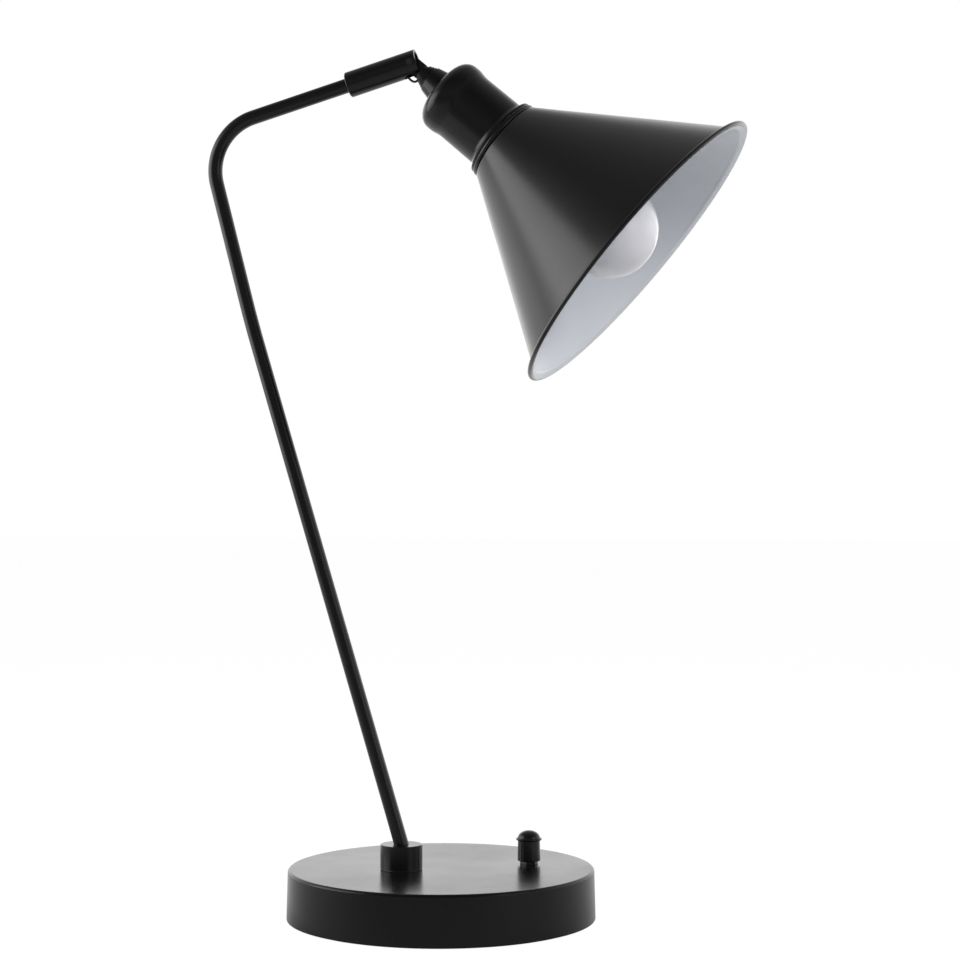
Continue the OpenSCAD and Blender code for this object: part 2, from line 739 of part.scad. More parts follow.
// Thin plated washer between cone and cup
module neck_washer() {
    color(black) on_head() translate([0, 0, cup_z - neck_washer_t])
        ring(cone_wide_d + 1.4, nipple_d + 2 * fit, neck_washer_t);
}

// Hollow threaded nipple from the knuckle to the lampholder
module head_nipple() {
    color(steel) on_head() translate([0, 0, nipple_in + 0.1])
        ring(nipple_d, nipple_bore, holder_z + 2.9 - nipple_in - 0.1);
}

// Nut that clamps the cup to the neck
module cup_nut() {
    color(steel) on_head() translate([0, 0, cup_inside]) hex_nut(14, nipple_d + 2 * fit, nut_t);
}

// The cup's outer line from its top to its flange, moved inwards by e
function cup_line(e) =
    let (sr = shoulder_d / 2, wr = waist_d / 2, drop = (sr - wr) / 2, reach = 4.5,
         half = 2 * atan(drop / reach), s_r = reach / sin(half),
         s_z = cup_z + shoulder_r + 1.6, f_z = cup_end - cup_t - flare_r)
    concat(arc_points([sr - shoulder_r, cup_z + shoulder_r], shoulder_r - e, -90, 0, 12),
        arc_points([sr - s_r, s_z], s_r - e, 0, half, 4),
        arc_points([wr + s_r, s_z + 2 * reach], s_r + e, 180 + half, 180, 4),
        arc_points([wr + 0.2 + flare_r, f_z], flare_r + e, 180, 96, 8));

// Spun steel cup over the lampholder
module socket_cup() {
    outer = concat([[nipple_d / 2 + fit, cup_z]], cup_line(0), [[flange_d / 2, cup_end - cup_t]]);
    inner = concat([[flange_d / 2, cup_end]], flipped(cup_line(cup_t)),
        [[nipple_d / 2 + fit, cup_z + cup_t]]);
    color(black) on_head() rotate_extrude($fn = 144) polygon(concat(outer, inner));
}

// Turned ring between cup and shade
module trim_ring() {
    r = trim_h / 2;
    bore = holder_d / 2 + fit;
    bead = arc_points([trim_d / 2 - r, cup_end + r], r, -90, 90, 10);
    edge = concat([[bore, cup_end]], bead, [[shade_top_d / 2 - 3, cup_end + trim_h],
        [shade_top_d / 2 - 3, shade_z], [bore, shade_z]]);
    color(black) on_head() rotate_extrude($fn = 144) polygon(edge);
}

// Spun cone shade with a lip and a rolled bead at its rim
module shade() {
    side_t = shade_t / cos(shade_half);
    turn_r = 2.2;
    hole = holder_d / 2 + 0.4;
    back_z = rim_z - shade_t;
    outer_r = function(z) shade_top_d / 2 + shade_slope * (z - shade_z);
    curl_z = back_z - turn_r - 0.4;
    lip_back = concat([[outer_r(curl_z), curl_z]],
        arc_points([outer_r(curl_z) + turn_r + 1, back_z - turn_r], turn_r, 150, 90, 4));
    outer = concat([[hole, shade_z], [shade_top_d / 2 - 0.7, shade_z],
        [shade_top_d / 2 + 0.25, shade_z + 0.5]], lip_back, [[lip_r, back_z], [lip_r, rim_z]]);
    inner = [[outer_r(rim_z) - side_t + 1.2, rim_z], [outer_r(rim_z - 1.6) - side_t, rim_z - 1.6],
        [outer_r(shade_z + shade_t) - side_t, shade_z + shade_t], [hole, shade_z + shade_t]];
    color(black) on_head() union() {
        rotate_extrude($fn = 180) polygon(concat(outer, inner));
        rotate_extrude($fn = 180) translate([lip_r, rim_z - bead_r]) circle(r = bead_r, $fn = 24);
    }
}

// Threaded ring that clamps the shade from inside
module shade_ring() {
    color(pale) on_head() translate([0, 0, shade_z + shade_t]) difference() {
        union() {
            cylinder(d = holder_d + 7, h = 2);
            cylinder(d = holder_d + 4.4, h = 6);
        }
        translate([0, 0, -over]) cylinder(d = holder_d + 2 * fit, h = 8);
    }
}

// Upper half of the lampholder, screwed on the nipple
module holder_cap() {
    color(dark_plastic) on_head() difference() {
        union() {
            translate([0, 0, holder_z])
                cylinder(d1 = holder_d - 2 * holder_bevel, d2 = holder_d, h = holder_bevel);
            translate([0, 0, holder_z + holder_bevel])
                cylinder(d = holder_d, h = holder_cap_h - holder_bevel);
        }
        translate([0, 0, holder_z - over]) cylinder(d = nipple_d + 2 * fit, h = holder_skin + 2 * over);
        translate([0, 0, holder_z + holder_skin])
            cylinder(d = holder_d - 2 * holder_skin, h = holder_split);
    }
}

// Lower half of the lampholder, with the skirt that the ring screws on
module holder_body() {
    wall_bore = screw_bore + 1 + 2 * fit;
    color(pale) on_head() difference() {
        translate([0, 0, holder_split]) cylinder(d = holder_d, h = holder_end - holder_split);
        translate([0, 0, holder_floor + floor_t]) cylinder(d = wall_bore, h = holder_len);
        translate([0, 0, holder_split - over])
            cylinder(d = holder_d - 2 * holder_wall, h = holder_floor - holder_split + over);
        translate([0, 0, holder_floor - over]) cylinder(d = 3 + 2 * fit, h = floor_t + 2 * over);
    }
}

// Brass screw shell
module screw_shell() {
    color(brass_tone) on_head() translate([0, 0, holder_floor + floor_t + slip])
        ring(screw_bore + 1, screw_bore, holder_end - holder_floor - floor_t - 2);
}

// Centre contact, riveted through the lampholder's floor
module centre_contact() {
    color(brass_tone) on_head() {
        translate([0, 0, holder_floor - 3]) cylinder(d = 3, h = floor_t + 4);
        translate([0, 0, holder_floor + floor_t + 0.1])
            cylinder(d = 9, h = contact_h - floor_t - 0.1);
        translate([0, 0, holder_floor - 3]) cylinder(d = 6, h = 2.9);
    }
}

// Lead from the stem through the nipple to the lampholder's terminals
module head_lead() {
    route = concat([[0, lead_hole_z + 0.8], [0, 20], [0, holder_z + 2]],
        pulled([0, holder_z + 5], [0, holder_z + 10], [4.2, holder_floor - 6], 4),
        [[4.2, holder_floor - 0.4]]);
    color(dark_plastic) on_head() planar_tube(route, 2.2);
}

// The lamp glass's line from its neck to its tip, moved inwards by e
function glass_line(e) =
    let (r = lamp_d / 2, x = neck_r + neck_sweep,
         down = sqrt(pow(neck_sweep + r, 2) - x * x), a = atan2(down, x))
    concat([[tuck_r - e, cap_z + cap_h - tuck], [tuck_r - e, cap_z + cap_h - e],
            [neck_r - e, cap_z + cap_h + neck_up - e]],
        arc_points([x, lamp_c - down], neck_sweep + e, 180, 180 - a, 10),
        arc_points([0, lamp_c], r - e, -a, 90, 24));

// Opal glass of the lamp
module lamp_glass() {
    color(opal) on_head() rotate_extrude() polygon(concat(glass_line(0), flipped(glass_line(glass_t))));
}

// Glass stem and filament inside the lamp
module lamp_stem() {
    low = cap_z + cap_h - tuck;
    press = low + stem_press_h;
    top = lamp_c - filament_drop;
    spread = (top - press) * tan(18);
    color(opal) on_head() {
        translate([0, 0, low]) cylinder(d1 = 2 * (tuck_r - glass_t - fit), d2 = 7, h = stem_flare_h);
        translate([0, 0, low + stem_flare_h - 1]) cylinder(d = 5, h = stem_press_h - stem_flare_h + 2);
        for (side = [-1, 1]) translate([side * 2, 0, press]) rotate([0, side * 18, 0])
            cylinder(d = wire_d, h = (top - press) / cos(18));
        translate([-spread - 2.2, 0, top]) rotate([0, 90, 0])
            cylinder(d = filament_d, h = 2 * spread + 4.4);
    }
}

// Screw cap of the lamp, with its rolled thread
module lamp_cap() {
    pitch = 3.63;
    turns = 4;
    first = cap_z + 1.4;
    top = cap_z + cap_h;
    mean_r = cap_d / 2 - 0.5;
    wave = [for (i = [0:turns * 8]) let (z = i * pitch / 8)
        [mean_r + 0.5 * cos(360 * z / pitch), first + z]];
    color(steel) on_head() rotate_extrude()
        polygon(concat([[lamp_tip_r + fit, cap_z], [10, cap_z]], wave,
            [[cap_d / 2, top], [tuck_r + fit, top], [tuck_r + fit, top - tuck - 0.1],
             [mean_r - 1, top - tuck - 0.6], [mean_r - 1, cap_z + 1.8], [lamp_tip_r + fit, cap_z + 0.6]]));
}

// Contact at the tip of the lamp's cap, in its black glass
module lamp_contact() {
    color(brass_tone) on_head() {
        translate([0, 0, lamp_z]) cylinder(d1 = 5, d2 = 2 * lamp_tip_r, h = 1.2);
        translate([0, 0, lamp_z + 1.2]) cylinder(r = lamp_tip_r, h = 2.6);
    }
}

base_shell();
base_weight();
weight_nuts();
base_plate();
plate_screws();
base_pad();
cord_gland();
gland_nut();
turn_washer();
switch_body();
switch_bushing();
switch_nut();
switch_lead();
switch_shaft();
switch_knob();
arm_collar();
swivel_nipple();
stop_washer();
spring_washer();
swivel_nut();
arm_tube();
arm_lead();
arm_end_ring();
sleeve();
sleeve_bushing();
keeper_screw();
tilt_pin();
tilt_washers();
joint_lead();
knuckle();
neck_cone();
neck_washer();
head_nipple();
cup_nut();
socket_cup();
trim_ring();
shade();
shade_ring();
holder_cap();
holder_body();
screw_shell();
centre_contact();
head_lead();
lamp_glass();
lamp_stem();
lamp_cap();
lamp_contact();
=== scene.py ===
import json
import math

import bpy
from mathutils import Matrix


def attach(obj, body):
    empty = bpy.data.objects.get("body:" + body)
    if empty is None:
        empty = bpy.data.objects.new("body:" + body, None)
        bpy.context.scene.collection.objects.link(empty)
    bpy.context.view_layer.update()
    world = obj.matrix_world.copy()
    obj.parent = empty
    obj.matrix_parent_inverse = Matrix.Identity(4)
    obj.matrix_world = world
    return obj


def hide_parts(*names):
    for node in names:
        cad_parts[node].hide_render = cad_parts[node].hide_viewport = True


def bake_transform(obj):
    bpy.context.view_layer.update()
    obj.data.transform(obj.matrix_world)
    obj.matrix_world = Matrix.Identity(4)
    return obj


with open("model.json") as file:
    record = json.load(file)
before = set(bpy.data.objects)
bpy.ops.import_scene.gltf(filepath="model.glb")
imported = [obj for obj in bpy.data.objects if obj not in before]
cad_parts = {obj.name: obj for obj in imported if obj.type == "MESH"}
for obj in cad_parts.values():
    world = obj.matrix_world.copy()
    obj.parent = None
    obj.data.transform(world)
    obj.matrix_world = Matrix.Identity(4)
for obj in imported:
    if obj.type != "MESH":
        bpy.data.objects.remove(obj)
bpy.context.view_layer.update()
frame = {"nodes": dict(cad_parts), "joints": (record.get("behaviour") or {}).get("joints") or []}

yaw = math.radians(11.75)
aim_right, distance, eye_height = 0.02396, 1.4, 0.2706
camera = bpy.data.objects.new("camera", bpy.data.cameras.new("camera"))
bpy.context.scene.collection.objects.link(camera)
camera.data.lens = 85
camera.data.sensor_width = 36
camera.location = (aim_right * math.cos(yaw) + distance * math.sin(yaw),
                   aim_right * math.sin(yaw) - distance * math.cos(yaw), eye_height)
camera.rotation_euler = (math.pi / 2, 0, yaw)
bpy.context.scene.camera = camera

# The room. A plain pale floor runs out under a white surround, and soft lamps stand to the
# left, to the right and overhead. Gloss finds the room bright behind the lamp and dim in front
# of it. The floor keeps a faint shadow of the lamp.
from mathutils import Matrix, Vector

bpy.context.scene.view_settings.view_transform = "Standard"
to_viewer = (math.sin(yaw), -math.cos(yaw), 0.0)
surround = bpy.data.worlds.new("surround")
bpy.context.scene.world = surround
surround.use_nodes = True
nodes, links = surround.node_tree.nodes, surround.node_tree.links
background = nodes["Background"]
seen = nodes.new("ShaderNodeLightPath")
either = nodes.new("ShaderNodeMath")
either.operation = "MAXIMUM"
level = nodes.new("ShaderNodeMapRange")
level.inputs["To Min"].default_value = 0.15
level.inputs["To Max"].default_value = 1.0
heading = nodes.new("ShaderNodeTexCoord")
front = nodes.new("ShaderNodeVectorMath")
front.operation = "DOT_PRODUCT"
front.inputs[1].default_value = to_viewer
wall = nodes.new("ShaderNodeMapRange")
wall.interpolation_type = "SMOOTHSTEP"
wall.inputs["From Min"].default_value = -0.45
wall.inputs["From Max"].default_value = 0.7
wall.inputs["To Min"].default_value = 1.7
wall.inputs["To Max"].default_value = 0.26
height = nodes.new("ShaderNodeSeparateXYZ")
overhead = nodes.new("ShaderNodeMapRange")
overhead.inputs["From Min"].default_value = 0.2
overhead.inputs["From Max"].default_value = 0.75
overhead.inputs["To Min"].default_value = 1.0
overhead.inputs["To Max"].default_value = 0.25
shell = nodes.new("ShaderNodeMath")
shell.operation = "MULTIPLY"
mirrored = nodes.new("ShaderNodeMix")
links.new(seen.outputs["Is Camera Ray"], either.inputs[0])
links.new(seen.outputs["Is Transmission Ray"], either.inputs[1])
links.new(either.outputs[0], level.inputs["Value"])
links.new(heading.outputs["Generated"], front.inputs[0])
links.new(front.outputs["Value"], wall.inputs["Value"])
links.new(seen.outputs["Is Glossy Ray"], mirrored.inputs["Factor"])
links.new(level.outputs["Result"], mirrored.inputs["A"])
links.new(heading.outputs["Generated"], height.inputs["Vector"])
links.new(height.outputs["Z"], overhead.inputs["Value"])
links.new(wall.outputs["Result"], shell.inputs[0])
links.new(overhead.outputs["Result"], shell.inputs[1])
links.new(shell.outputs[0], mirrored.inputs["B"])
links.new(mirrored.outputs["Result"], background.inputs["Strength"])
background.inputs["Color"].default_value = (1, 1, 1, 1)

floor_mesh = bpy.data.meshes.new("floor")
far = 9.0
floor_mesh.from_pydata([(-far, -far, 0), (far, -far, 0), (far, far, 0), (-far, far, 0)], [],
                       [(0, 1, 2, 3)])
floor = bpy.data.objects.new("floor", floor_mesh)
bpy.context.scene.collection.objects.link(floor)
pale = bpy.data.materials.new("pale_floor")
pale.use_nodes = True
nodes, links = pale.node_tree.nodes, pale.node_tree.links
matt = nodes["Principled BSDF"]
matt.inputs["Base Color"].default_value = (0.9, 0.9, 0.9, 1)
matt.inputs["Roughness"].default_value = 0.9
matt.inputs["Specular IOR Level"].default_value = 0.1
glow = nodes.new("ShaderNodeEmission")
glow.inputs["Strength"].default_value = 1.08
blend = nodes.new("ShaderNodeMixShader")
share = nodes.new("ShaderNodeMapRange")
share.inputs["To Min"].default_value = 0.0
share.inputs["To Max"].default_value = 0.9
seen = nodes.new("ShaderNodeLightPath")
either = nodes.new("ShaderNodeMath")
either.operation = "MAXIMUM"
spot = nodes.new("ShaderNodeTexCoord")
front = nodes.new("ShaderNodeVectorMath")
front.operation = "DOT_PRODUCT"
front.inputs[1].default_value = to_viewer
ahead = nodes.new("ShaderNodeMapRange")
ahead.interpolation_type = "SMOOTHSTEP"
ahead.inputs["From Min"].default_value = -0.3
ahead.inputs["From Max"].default_value = 0.25
ahead.inputs["To Min"].default_value = 0.9
ahead.inputs["To Max"].default_value = 0.0
mirrored = nodes.new("ShaderNodeMix")
links.new(seen.outputs["Is Camera Ray"], either.inputs[0])
links.new(seen.outputs["Is Transmission Ray"], either.inputs[1])
links.new(either.outputs[0], share.inputs["Value"])
links.new(spot.outputs["Object"], front.inputs[0])
links.new(front.outputs["Value"], ahead.inputs["Value"])
links.new(seen.outputs["Is Glossy Ray"], mirrored.inputs["Factor"])
links.new(share.outputs["Result"], mirrored.inputs["A"])
links.new(ahead.outputs["Result"], mirrored.inputs["B"])
links.new(mirrored.outputs["Result"], blend.inputs["Fac"])
links.new(matt.outputs["BSDF"], blend.inputs[1])
links.new(glow.outputs["Emission"], blend.inputs[2])
links.new(blend.outputs["Shader"], nodes["Material Output"].inputs["Surface"])
floor_mesh.materials.append(pale)


def softbox(name, place, aim, size, watts, mirrored=True):
    lamp = bpy.data.lights.new(name, "AREA")
    lamp.shape = "RECTANGLE"
    lamp.size, lamp.size_y = size
    lamp.energy = watts
    box = bpy.data.objects.new(name, lamp)
    box.location = place
    box.rotation_euler = (Vector(aim) - Vector(place)).to_track_quat("-Z", "Y").to_euler()
    box.visible_glossy = mirrored
    bpy.context.scene.collection.objects.link(box)


softbox("left_softbox", (-1.5, -0.42, 0.5), (0.05, 0, 0.3), (1.3, 1.4), 17)
softbox("right_softbox", (1.5, -0.7, 0.5), (0.1, 0, 0.35), (0.8, 1.0), 3)
softbox("high_softbox", (1.1, -0.4, 1.2), (0.1, 0, 0.4), (0.6, 0.6), 12.5, mirrored=False)

# Bottom of the base. A dull foam pad lies under a zinc plated plate, which three screws hold
# to a cast iron weight. Nuts on studs under the shell's top carry the weight.


def mottled(name, light, dark, rough, grain, depth=0.00004, metal=0.0, specular=0.5, mottle=40.0):
    """A finish with a fine grain, in which tone and gloss change a little from place to place."""
    made = bpy.data.materials.new(name)
    made.use_nodes = True
    nodes, links = made.node_tree.nodes, made.node_tree.links
    skin = nodes["Principled BSDF"]
    skin.inputs["Metallic"].default_value = metal
    skin.inputs["Specular IOR Level"].default_value = specular
    where = nodes.new("ShaderNodeTexCoord")
    cloud = nodes.new("ShaderNodeTexNoise")
    cloud.inputs["Scale"].default_value = mottle
    cloud.inputs["Detail"].default_value = 3
    tone = nodes.new("ShaderNodeMix")
    tone.data_type = "RGBA"
    tone.inputs["A"].default_value = (*light, 1)
    tone.inputs["B"].default_value = (*dark, 1)
    gloss = nodes.new("ShaderNodeMapRange")
    gloss.inputs["From Min"].default_value = 0.3
    gloss.inputs["From Max"].default_value = 0.7
    gloss.inputs["To Min"].default_value = rough[0]
    gloss.inputs["To Max"].default_value = rough[1]
    peel = nodes.new("ShaderNodeTexNoise")
    peel.inputs["Scale"].default_value = grain
    peel.inputs["Detail"].default_value = 2
    bump = nodes.new("ShaderNodeBump")
    bump.inputs["Strength"].default_value = 0.35
    bump.inputs["Distance"].default_value = depth
    links.new(where.outputs["Object"], cloud.inputs["Vector"])
    links.new(where.outputs["Object"], peel.inputs["Vector"])
    links.new(cloud.outputs["Fac"], tone.inputs["Factor"])
    links.new(cloud.outputs["Fac"], gloss.inputs["Value"])
    links.new(tone.outputs["Result"], skin.inputs["Base Color"])
    links.new(gloss.outputs["Result"], skin.inputs["Roughness"])
    links.new(peel.outputs["Fac"], bump.inputs["Height"])
    links.new(bump.outputs["Normal"], skin.inputs["Normal"])
    return made


def dress(finish, *names):
    for name in names:
        mesh = frame["nodes"][name].data
        mesh.materials.clear()
        mesh.materials.append(finish)


foam = mottled("foam", (0.03, 0.03, 0.03), (0.018, 0.018, 0.018), (0.85, 0.95), 1500, 0.0002)
zinc = mottled("zinc_plate", (0.62, 0.63, 0.65), (0.5, 0.5, 0.53), (0.3, 0.42), 900, 0.00002,
               metal=1.0)
casting = mottled("grey_iron", (0.12, 0.12, 0.125), (0.07, 0.07, 0.07), (0.6, 0.8), 600, 0.0002,
                  metal=0.6)
dress(foam, "base_pad")
dress(zinc, "base_plate", "plate_screws", "weight_nuts")
dress(casting, "base_weight")

# Base shell. Pressed steel sheet with a rounded top edge, sprayed satin black. It is the
# largest painted piece, and its flat top mirrors the pale room at a low angle.
import bmesh


def eased(outline, steps=6):
    """Corners of an outline that give a third number are rounded to that radius."""
    line = []
    for i, point in enumerate(outline):
        here = Vector(point[:2])
        if len(point) == 2:
            line.append(here)
            continue
        back = Vector(outline[i - 1][:2]) - here
        on = Vector(outline[(i + 1) % len(outline)][:2]) - here
        half = back.angle(on) / 2
        reach = min(point[2] / math.tan(half), 0.49 * back.length, 0.49 * on.length)
        back.normalize()
        on.normalize()
        radius = reach * math.tan(half)
        centre = here + (back + on).normalized() * (radius / math.sin(half))
        first, last = here + back * reach - centre, here + on * reach - centre
        for k in range(steps + 1):
            line.append(centre + first.lerp(last, k / steps).normalized() * radius)
    return line


def piece_of(mesh, name, finish):
    """A smooth object whose flat faces keep their own normals."""
    mesh.shade_smooth()
    mesh.set_sharp_from_angle(angle=math.radians(38))
    mesh.materials.append(finish)
    made = bpy.data.objects.new(name, mesh)
    bpy.context.scene.collection.objects.link(made)
    even = made.modifiers.new("even", "WEIGHTED_NORMAL")
    even.keep_sharp = True
    return made


def turned(name, outline, finish, place=Matrix.Identity(4), around=160, shut=False):
    """A piece turned round Z from an outline of radius and height in millimetres."""
    shape = bmesh.new()
    rings = []
    for radius, height in outline:
        count = 1 if radius < 1e-6 else around
        rings.append([shape.verts.new(place @ Vector((
            0.001 * radius * math.cos(2 * math.pi * k / count),
            0.001 * radius * math.sin(2 * math.pi * k / count), 0.001 * height)))
            for k in range(count)])
    pairs = list(zip(rings, rings[1:]))
    if shut:
        pairs.append((rings[-1], rings[0]))
    for low, high in pairs:
        for k in range(max(len(low), len(high))):
            corners = [low[k % len(low)], low[(k + 1) % len(low)],
                       high[(k + 1) % len(high)], high[k % len(high)]]
            corners = list(dict.fromkeys(corners))
            if len(corners) > 2:
                shape.faces.new(corners)
    bmesh.ops.recalc_face_normals(shape, faces=shape.faces)
    mesh = bpy.data.meshes.new(name)
    shape.to_mesh(mesh)
    shape.free()
    return piece_of(mesh, name, finish)


def seat(piece, body, slot, *replaced):
    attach(piece, body)
    if replaced:
        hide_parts(*replaced)
    return piece


satin_black = mottled("satin_black", (0.006, 0.006, 0.006), (0.0045, 0.0045, 0.0045), (0.22, 0.28),
                      1300, 0.00003, specular=0.3, mottle=18)
base_r, hem, base_top, sheet, taper = 95.25, 0.8, 31.5, 1.5, 0.8
top_r, under_roof = base_r - taper, base_top - sheet
base_outline = eased([
    (0, under_roof), (top_r - sheet - 0.05, under_roof, 0.4), (base_r - sheet, hem, 0.3),
    (base_r, hem, 0.5), (top_r, base_top, 1.8), (0, base_top)])
base_black = mottled("base_black", (0.006, 0.006, 0.006), (0.0045, 0.0045, 0.0045), (0.2, 0.26),
                     1300, 0.00002, specular=0.19, mottle=18)
base_shell = turned("base_shell_skin", base_outline, base_black, around=256)
seat(base_shell, "base", "black_paint", "base_shell")

# Cord gland. A moulded bush through the back of the shell, held by a nut inside, where a
# supply cord would come in.
moulded_black = mottled("moulded_black", (0.03, 0.03, 0.03), (0.02, 0.02, 0.02), (0.42, 0.5), 900)
dress(moulded_black, "cord_gland", "gland_nut", "turn_washer")

# Rotary switch. A moulded housing hangs under the shell on a brass bushing with a blackened
# nut on top, and a plated shaft comes up through it.


def softened(name, node, finish, width=0.15):
    """A CAD piece with its doubles merged, its flats whole and its edges a little rounded."""
    shape = bmesh.new()
    shape.from_mesh(frame["nodes"][node].data)
    bmesh.ops.remove_doubles(shape, verts=shape.verts, dist=2e-6)
    bmesh.ops.dissolve_limit(shape, angle_limit=0.006, verts=shape.verts, edges=shape.edges)
    mesh = bpy.data.meshes.new(name)
    shape.to_mesh(mesh)
    shape.free()
    made = piece_of(mesh, name, finish)
    edge = made.modifiers.new("edge", "BEVEL")
    edge.width = 0.001 * width
    edge.segments = 2
    edge.limit_method = "ANGLE"
    edge.angle_limit = math.radians(38)
    made.modifiers.move(1, 0)
    return made


brass = mottled("bright_brass", (0.78, 0.6, 0.3), (0.7, 0.52, 0.24), (0.2, 0.32), 900, 0.00002,
                metal=1.0)
sheath = mottled("lead_sheath", (0.02, 0.02, 0.02), (0.014, 0.014, 0.014), (0.38, 0.46), 1500)
black_nut = mottled("blackened_nut", (0.014, 0.014, 0.014), (0.01, 0.01, 0.01), (0.3, 0.4), 1200)
dress(moulded_black, "switch_body")
dress(brass, "switch_bushing")
dress(zinc, "switch_shaft")
dress(sheath, "switch_lead")
switch_nut = softened("switch_nut_black", "switch_nut", black_nut, 0.2)
seat(switch_nut, "base", "steel", "switch_nut")

# Knob. Turned metal, sprayed black: a barrel that widens a little to its foot, a thin round
# flange near the top, and a dome above it.
knob_at = Vector(next(j for j in frame["joints"] if j["name"] == "knob_turn")["pos_m"])
knob_foot = 0.0337
knob_place = Matrix.Translation((knob_at.x, knob_at.y, knob_foot))
dome_r, dome_h, flange_top = 6.9, 4.7, 14.1
dome_angles = [math.radians(a) for a in range(8, 91, 6)]
dome = [Vector((dome_r * math.cos(a), flange_top + dome_h * math.sin(a))) for a in dome_angles]
dome.append(Vector((0, flange_top + dome_h)))
knob_outline = eased([
    (0, 0.6), (5.6, 0.6, 0.3), (6.0, 0.05, 0.2), (7.1, 0.05, 0.35), (6.85, 12.7, 0.25),
    (8.0, 12.75, 0.55), (8.0, flange_top, 0.55), (6.95, 14.12, 0.12)]) + dome
knob = turned("knob", knob_outline, satin_black, knob_place, 96)
seat(knob, "knob", "black_paint", "switch_knob")

# Arm collar. A short turned collar that turns on the base. Its hollow nipple goes down
# through the shell to a stop washer, a spring washer and a nut.
collar = softened("arm_collar_skin", "arm_collar", satin_black, 0.25)
seat(collar, "arm", "black_paint", "arm_collar")
dress(zinc, "swivel_nipple", "stop_washer", "spring_washer", "swivel_nut")

# Arm. One steel tube, brazed into the collar, with a slight set on its way up and one tight
# bend, sprayed with the rest. A lead runs inside it.


def tree_of(name, sizes):
    """An empty tree with named inputs for a piece's sizes and its finish."""
    tree = bpy.data.node_groups.new(name, "GeometryNodeTree")
    tree.interface.new_socket("Geometry", in_out="INPUT", socket_type="NodeSocketGeometry")
    for label, value in sizes.items():
        kind = "NodeSocketInt" if isinstance(value, int) else "NodeSocketFloat"
        tree.interface.new_socket(label, in_out="INPUT", socket_type=kind).default_value = value
    tree.interface.new_socket("Finish", in_out="INPUT", socket_type="NodeSocketMaterial")
    tree.interface.new_socket("Geometry", in_out="OUTPUT", socket_type="NodeSocketGeometry")
    return tree, tree.nodes.new("NodeGroupInput"), tree.nodes.new("NodeGroupOutput")


def closing(tree, start, end, made):
    """Realizes what was made, gives it the finish and hands it out."""
    real = tree.nodes.new("GeometryNodeRealizeInstances")
    painted = tree.nodes.new("GeometryNodeSetMaterial")
    tree.links.new(made, real.inputs["Geometry"])
    tree.links.new(real.outputs["Geometry"], painted.inputs["Geometry"])
    tree.links.new(start.outputs["Finish"], painted.inputs["Material"])
    tree.links.new(painted.outputs["Geometry"], end.inputs["Geometry"])


def grown(name, data, tree, sizes, finish):
    """A plain mesh object from a tree: its inputs are set, it is baked, and the tree comes off."""
    host = bpy.data.objects.new(name + "_host", data)
    bpy.context.scene.collection.objects.link(host)
    grow = host.modifiers.new("grow", "NODES")
    grow.node_group = tree
    for item in tree.interface.items_tree:
        if item.item_type == "SOCKET" and item.in_out == "INPUT":
            if item.name in sizes:
                grow[item.identifier] = sizes[item.name]
            if item.name == "Finish":
                grow[item.identifier] = finish
    bpy.context.view_layer.update()
    ready = host.evaluated_get(bpy.context.evaluated_depsgraph_get())
    mesh = bpy.data.meshes.new_from_object(ready)
    mesh.name = name
    host.modifiers.remove(grow)
    bpy.data.objects.remove(host)
    shape = bmesh.new()
    shape.from_mesh(mesh)
    bmesh.ops.remove_doubles(shape, verts=shape.verts, dist=1e-7)
    bmesh.ops.recalc_face_normals(shape, faces=shape.faces)
    shape.to_mesh(mesh)
    shape.free()
    mesh.materials.clear()
    return piece_of(mesh, name, finish)


tube = {"Tube radius": 0.0045, "Sides": 64}
sweep, start, end = tree_of("tube_along_line", tube)
ring = sweep.nodes.new("GeometryNodeCurvePrimitiveCircle")
along = sweep.nodes.new("GeometryNodeCurveToMesh")
along.inputs["Fill Caps"].default_value = True
sweep.links.new(start.outputs["Tube radius"], ring.inputs["Radius"])
sweep.links.new(start.outputs["Sides"], ring.inputs["Resolution"])
sweep.links.new(start.outputs["Geometry"], along.inputs["Curve"])
sweep.links.new(ring.outputs["Curve"], along.inputs["Profile Curve"])
closing(sweep, start, end, along.outputs["Mesh"])

pivot = Vector(next(j for j in frame["joints"] if j["name"] == "head_tilt")["pos_m"])
foot = Vector(next(j for j in frame["joints"] if j["name"] == "arm_swivel")["pos_m"])
lean, set_turn, bend_lean, rise = (math.radians(a) for a in (16.63, 2.1, 14.53, 16.3))
bend_turn = math.pi / 2 + bend_lean - rise
lower_run, middle_run, upper_run = 0.3281, 0.0823, 0.1061
set_radius, bend_radius = 0.42, 0.034
start_height, sunk, short_of_pivot = 0.04665, 0.0065, 0.012
here = Vector((foot.x + sunk * math.sin(lean), start_height - sunk * math.cos(lean)))
heading = math.pi / 2 + lean
line = []
for length, radius, turn in (
        (lower_run + sunk, 0, 0), (0, set_radius, set_turn), (middle_run, 0, 0),
        (0, bend_radius, bend_turn), (upper_run - short_of_pivot, 0, 0)):
    steps = max(1, round(math.degrees(turn) / 2 if turn else length / 0.02))
    for k in range(steps):
        line.append(here.copy())
        if turn:
            middle = heading - turn / steps / 2
            chord = 2 * radius * math.sin(turn / steps / 2)
            here = here + chord * Vector((math.cos(middle), math.sin(middle)))
            heading -= turn / steps
        else:
            here = here + length / steps * Vector((math.cos(heading), math.sin(heading)))
line.append(here.copy())
path = bpy.data.curves.new("arm_line", "CURVE")
path.dimensions = "3D"
spline = path.splines.new("POLY")
spline.points.add(len(line) - 1)
for point, spot in zip(spline.points, line):
    point.co = (spot.x, foot.y, spot.y, 1)
arm = grown("arm", path, sweep, tube, satin_black)
seat(arm, "arm", "black_paint", "arm_tube")
dress(sheath, "arm_lead")
dress(zinc, "arm_end_ring")

